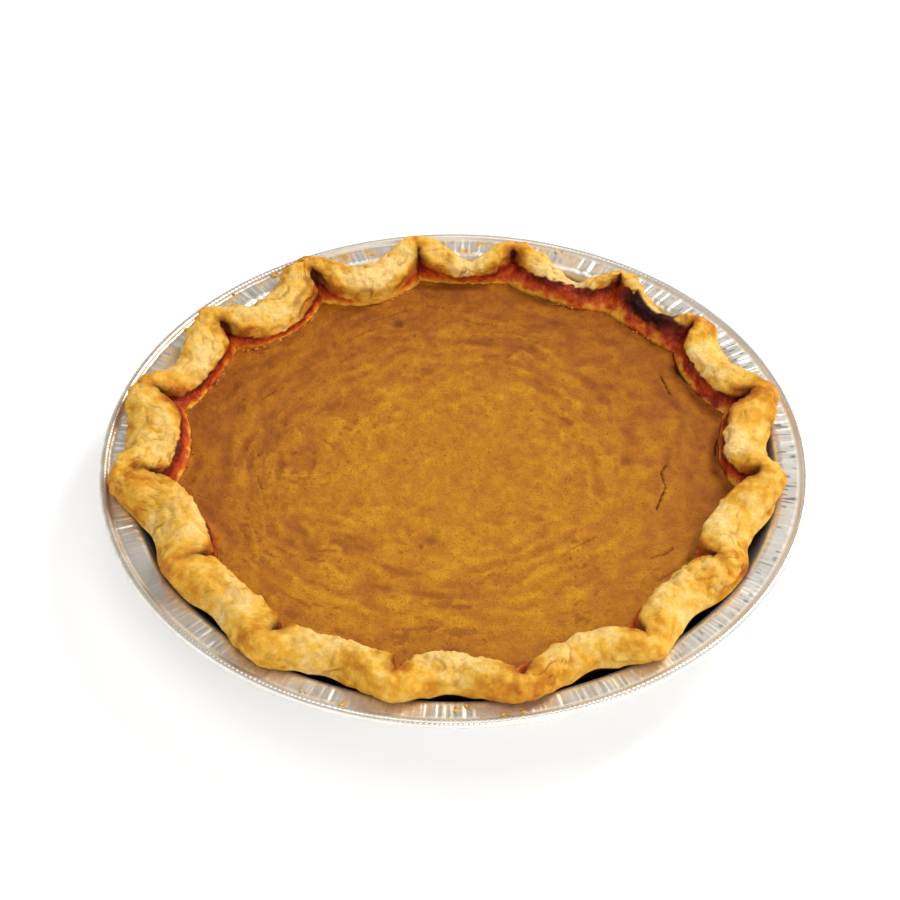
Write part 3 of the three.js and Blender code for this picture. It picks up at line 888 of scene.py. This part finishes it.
def make_filling(stations):
    """The custard, a skin of rings that fit the foot of the pastry's wall all round."""
    angles = TAU * np.arange(FILLING_STATIONS) / FILLING_STATIONS
    order = np.argsort(stations.angle % TAU)
    foot = np.interp(angles, (stations.angle % TAU)[order], stations.foot[order], period=TAU)
    degrees = np.degrees(angles)
    pulled = smoothstep(PULLED_FROM, PULLED_FROM + PULL_EASE, degrees)
    pulled = pulled * smoothstep(PULLED_TO, PULLED_TO - PULL_EASE, degrees)
    pulled = pulled * (0.75 + 0.5 * noise(degrees / 5, 0.5))
    uneven = noise(degrees / 1.3, 2.5) + 0.6 * noise(degrees / 0.55, 4.5)
    climb = EDGE_CLIMB * np.clip(0.6 + uneven, 0, 2) * (1 - np.clip(pulled, 0, 1))
    edge_radius = foot - 0.1 - EDGE_PULL * pulled + 0.4 * climb
    share = 1 - np.linspace(0, 1, FILLING_RINGS, endpoint=False) ** RING_CROWDING
    radius = edge_radius[:, None] * share[None, :]
    x, y = crowd_at_cracks(radius * np.cos(angles)[:, None], radius * np.sin(angles)[:, None])
    height, masks = filling_relief(x, y, share[None, :])
    height = height + climb[:, None] * smoothstep(0.984, 1.0, share)
    top = np.stack([x, y, FILLING_LEVEL + height], axis=-1)

    bottom = FOIL_THICKNESS + TIN_GAP + PASTRY_THICKNESS + FILLING_GAP - TIN_DEPTH
    side = [(BASE_RADIUS - TIN_GAP - PASTRY_THICKNESS - FILLING_GAP, bottom),
            (tin_wall_radius(WALL_BEND) - TIN_GAP - WALL_THICKNESS - FILLING_GAP, WALL_BEND)]
    side = np.broadcast_to(np.array(side), (len(angles), 2, 2))
    below = np.stack([edge_radius - 0.2, np.full(len(angles), FILLING_LEVEL - SKIN_DEPTH)], axis=-1)[:, None]
    under = turned(angles, np.concatenate([side, below], axis=1))
    whole = np.concatenate([under, top], axis=1)
    # Towards its edge the custard is painted browner, less at the front: partly its baked colour and partly
    # painted shade near the wall.
    towards_front = smoothstep(20, -70, y)
    masks["edge"] = share[None, :] * (1 - 0.45 * towards_front)
    for name, values in masks.items():
        masks[name] = np.pad(values, ((0, 0), (under.shape[1], 0)), mode="edge")
    turned_piece("custard_filling", whole, bottom, FILLING_LEVEL,
                 masks, filling_paint(), "filling")
    return angles, edge_radius


def make_crumbs(name, spots, material, seed):
    """Crumbs as small uneven lumps, all in one mesh; each spot is a place and a size."""
    chance = np.random.default_rng(seed)
    ball = bmesh.new()
    bmesh.ops.create_icosphere(ball, subdivisions=2, radius=1)
    shape = np.array([vertex.co[:] for vertex in ball.verts])
    faces = np.array([[vertex.index for vertex in face.verts] for face in ball.faces])
    ball.free()
    vertices = []
    for x, y, height, size in spots:
        lump = shape * (1 + 0.35 * point_noise(shape, 0.7, chance.uniform(0, 90)))[:, None]
        turn = chance.uniform(0, TAU)
        cos, sin = math.cos(turn), math.sin(turn)
        lump = lump * size * (1, chance.uniform(0.6, 0.9), chance.uniform(0.45, 0.7))
        lump = lump @ [[cos, sin, 0], [-sin, cos, 0], [0, 0, 1]]
        vertices.append(lump + (x, y, height + TIN_DEPTH))
    groups = [faces + i * len(shape) for i in range(len(spots))]
    add_piece(name, new_mesh(name, np.concatenate(vertices) * MM, [np.concatenate(groups)]), material)


def crumb_paint(name, pale, deep, roughness):
    paint = Paint(name)
    colour = paint.ramp(paint.noise(1.4, 2), (0.35, pale), (0.65, deep))
    return paint.finish(Base_Color=colour, Roughness=roughness, Specular_IOR_Level=0.25)


def scatter_crumbs(angles, edge_radius):
    """Specks of custard along the foot of the pastry's wall, and golden crumbs on the flange."""
    chance = np.random.default_rng(seed=5)
    along_wall = []
    for first, last, count in MARGIN_CRUMBS:
        for angle in np.radians(chance.uniform(first, last, count)):
            radius = np.interp(angle, angles, edge_radius) + chance.normal(-0.3, 0.5)
            size = 0.35 + 0.75 * chance.random() ** 2
            along_wall.append((radius * math.cos(angle), radius * math.sin(angle), FILLING_LEVEL - 0.1, size))
    custard = crumb_paint("custard_crumb", srgb(206, 132, 34), srgb(160, 78, 20), 0.35)
    make_crumbs("custard_crumbs", along_wall, custard, seed=11)
    on_flange = []
    for x, y in FLANGE_CRUMBS:
        for _ in range(2):
            aside, out = chance.normal(0, (1.1, 0.7))
            on_flange.append((x + aside, y + out, 0.3, chance.uniform(0.4, 1.1)))
    golden = crumb_paint("golden_crumb", srgb(228, 186, 92), srgb(206, 150, 54), 0.6)
    make_crumbs("pastry_crumbs", on_flange, golden, seed=12)


def make_tin():
    """The foil tin, with a notched bead, a crinkled flange and a pleated wall."""
    angles = TAU * np.arange(TIN_STATIONS) / TIN_STATIONS
    wall = FOIL_THICKNESS
    bead_turns = np.radians(np.linspace(-BEAD_SWEEP, BEAD_SWEEP, BEAD_SIDES))
    bead = [(RIM_RADIUS - BEAD_RADIUS + BEAD_RADIUS * math.cos(t), -0.5 * wall + BEAD_RADIUS * math.sin(t))
            for t in bead_turns]
    flange_radii = np.linspace(bead[-1][0] - wall, OPENING_RADIUS + RIM_CORNER, FLANGE_RINGS)
    flange = [(radius, 0.0) for radius in flange_radii]
    slope = [(tin_wall_radius(h), h) for h in np.linspace(-RIM_CORNER, SLOPE_END, SLOPE_RINGS)]
    outside_levels = np.linspace(BASE_CORNER - TIN_DEPTH, -wall - RIM_CORNER, WALL_RINGS)
    outside = [(tin_wall_radius(h) + wall, h) for h in outside_levels]
    section = np.array([
        (BASE_RADIUS - BASE_CORNER, -TIN_DEPTH), *outside,
        (OPENING_RADIUS + RIM_CORNER, -wall), (bead[0][0] - wall, -wall), *bead, *flange,
        (OPENING_RADIUS + wall / 4, -0.3 * RIM_CORNER), *slope,
        (tin_wall_radius(BASE_CORNER + wall - TIN_DEPTH), BASE_CORNER + wall - TIN_DEPTH),
        (BASE_RADIUS - BASE_CORNER, wall - TIN_DEPTH)])
    radius, level = section[:, 0], section[:, 1]
    sections = np.broadcast_to(section, (len(angles), *section.shape)).copy()

    # Crinkles run across the flange, pleats down the wall and notches round the bead.
    turn = angles[:, None]
    around = np.stack([np.cos(turn), np.sin(turn)])
    slant = 1 + 0.0006 * (radius - OPENING_RADIUS) * noise(around[0] * 3, around[1] * 3, 1.5)
    fold = noise(around[0] * 92 * slant, around[1] * 92 * slant, 0.3)
    finer = noise(around[0] * 190 * slant, around[1] * 190 * slant, 4.7)
    depth = 0.55 + 0.45 * noise(around[0] * 9, around[1] * 9, 2.2)
    on_flange = smoothstep(OPENING_RADIUS - 1, OPENING_RADIUS + 1.5, radius)
    on_flange = on_flange * smoothstep(RIM_RADIUS - 2.4, RIM_RADIUS - 5, radius)
    on_wall = smoothstep(OPENING_RADIUS + 1, OPENING_RADIUS - 1, radius)
    on_wall = on_wall * smoothstep(0.5 - TIN_DEPTH, 6 - TIN_DEPTH, level)
    crinkle = FLANGE_WRINKLE * depth * (fold + 0.7 * finer)
    sections[..., 1] += crinkle * on_flange
    pleat = np.sin(PLEATS * turn + 4 * noise(around[0] * 11, around[1] * 11, 6.2)) * depth
    outside_wall = on_wall * (np.arange(len(radius)) < len(outside) + 1)
    sections[..., 0] += (0.3 * crinkle - 0.1) * on_wall + WALL_PLEAT * (pleat + 0.3 * fold) * outside_wall
    on_bead = smoothstep(RIM_RADIUS - 3.2, RIM_RADIUS - 1.8, radius)
    notch = np.sin(BEAD_NOTCHES * turn + 3 * noise(around[0] * 20, around[1] * 20, 3.1))
    middle = np.array([RIM_RADIUS - BEAD_RADIUS, -0.5 * wall])
    outward = (section - middle) / BEAD_RADIUS
    squeeze = -BEAD_NOTCH_DEPTH * (0.5 - 0.5 * notch) * on_bead
    sections += squeeze[..., None] * outward

    # Stains lie at the back left and the front. Dirt and a painted brown reflection of the crust lie in the
    # groove and on the bead, most at the left; elsewhere the groove is painted pale, and painted dark
    # reflections lie in dashes on the flange.
    degrees = np.degrees(turn)
    back_left = bell(degrees, 125, 45) + 0.6 * bell(degrees, 85, 25)
    front = 0.5 * bell(degrees, 262, 30)
    stained = np.clip(back_left + front, 0, 1) * on_flange
    groove = bell(radius, RIM_RADIUS - GROOVE_INSET, GROOVE_WIDTH)
    left = bell(degrees, 165, 55)
    crust_reflection_and_dirt = np.clip(groove * left + on_bead * (0.1 + 0.5 * left), 0, 1)
    # Away from the left the groove is painted pale, standing in for the light on it.
    painted_groove_light = groove * (1 - left)
    # Painted dark reflections in the flange's crinkles, strongest at the right.
    painted_reflection_dashes = smoothstep(0.35, 0.6, noise(around[0] * 130, around[1] * 130, radius / 3))
    right = bell(np.abs((degrees + 180) % 360 - 180), 8, 42)
    painted_reflection_dashes = 0.75 * painted_reflection_dashes * on_flange * (0.25 + 0.75 * right)
    masks = {"stained": stained, "crust_reflection_and_dirt": 0.8 * crust_reflection_and_dirt, "painted_groove_light": painted_groove_light, "shaded": outside_wall,
             "painted_reflection_dashes": painted_reflection_dashes}
    turned_piece("foil_tin_crinkled", turned(angles, sections), -TIN_DEPTH, wall - TIN_DEPTH,
                 masks, foil_paint(), "foil_tin")


def make_floor():
    """A plain pale floor that is flat under the pie and rises far behind it on all sides."""
    angles = TAU * np.arange(FLOOR_SIDES) / FLOOR_SIDES
    rings = np.array(FLOOR_PROFILE)
    points = turned(angles, np.broadcast_to(rings, (len(angles), *rings.shape)))
    here = 1 + np.arange(len(angles) * len(rings)).reshape(len(angles), len(rings))
    there = np.roll(here, -1, axis=0)
    middle = np.stack([0 * here[:, 0], here[:, 0], there[:, 0]], axis=-1)
    quads = np.stack([here[:, :-1], here[:, 1:], there[:, 1:], there[:, :-1]], axis=-1).reshape(-1, 4)
    mesh = new_mesh("floor", np.concatenate([[[0, 0, 0]], points.reshape(-1, 3)]), [middle, quads])
    floor = bpy.data.objects.new("floor", mesh)
    bpy.context.scene.collection.objects.link(floor)
    paint = Paint("pale_floor")
    mesh.materials.append(paint.finish(
        Base_Color=(0.9, 0.9, 0.9, 1), Roughness=0.9, Specular_IOR_Level=0.0,
        Emission_Color=(1, 1, 1, 1), Emission_Strength=FLOOR_GLOW))


def add_light(name, place, size, power, colour):
    data = bpy.data.lights.new(name, "AREA")
    data.shape = "SQUARE"
    data.size = size
    data.energy = power
    data.color = colour
    light = bpy.data.objects.new(name, data)
    light.location = place
    light.rotation_euler = (Vector(PIE_MIDDLE) - Vector(place)).to_track_quat("-Z", "Y").to_euler()
    bpy.context.scene.collection.objects.link(light)


def make_lights():
    for light in LIGHTS:
        add_light(*light)
    world = bpy.data.worlds.new("studio")
    world.use_nodes = True
    background = world.node_tree.nodes["Background"]
    background.inputs["Color"].default_value = WORLD_COLOUR
    background.inputs["Strength"].default_value = WORLD_STRENGTH
    bpy.context.scene.world = world


def make_camera():
    """The photograph's view: over the front rim, looking down at the pie."""
    elevation = math.radians(CAMERA_ELEVATION)
    forward = Vector((0, math.cos(elevation), -math.sin(elevation)))
    data = bpy.data.cameras.new("camera")
    data.lens = FOCAL_LENGTH
    data.sensor_width = SENSOR_WIDTH
    data.clip_end = FAR_CLIP
    camera = bpy.data.objects.new("camera", data)
    aim = Vector([MM * value for value in CAMERA_AIM])
    camera.location = aim - CAMERA_DISTANCE * forward
    camera.rotation_euler = forward.to_track_quat("-Z", "Y").to_euler()
    bpy.context.scene.collection.objects.link(camera)
    bpy.context.scene.camera = camera
    bpy.context.scene.view_settings.view_transform = "Standard"


make_camera()
make_lights()
make_floor()
make_tin()
rim = make_crust()
scatter_crumbs(*make_filling(rim))
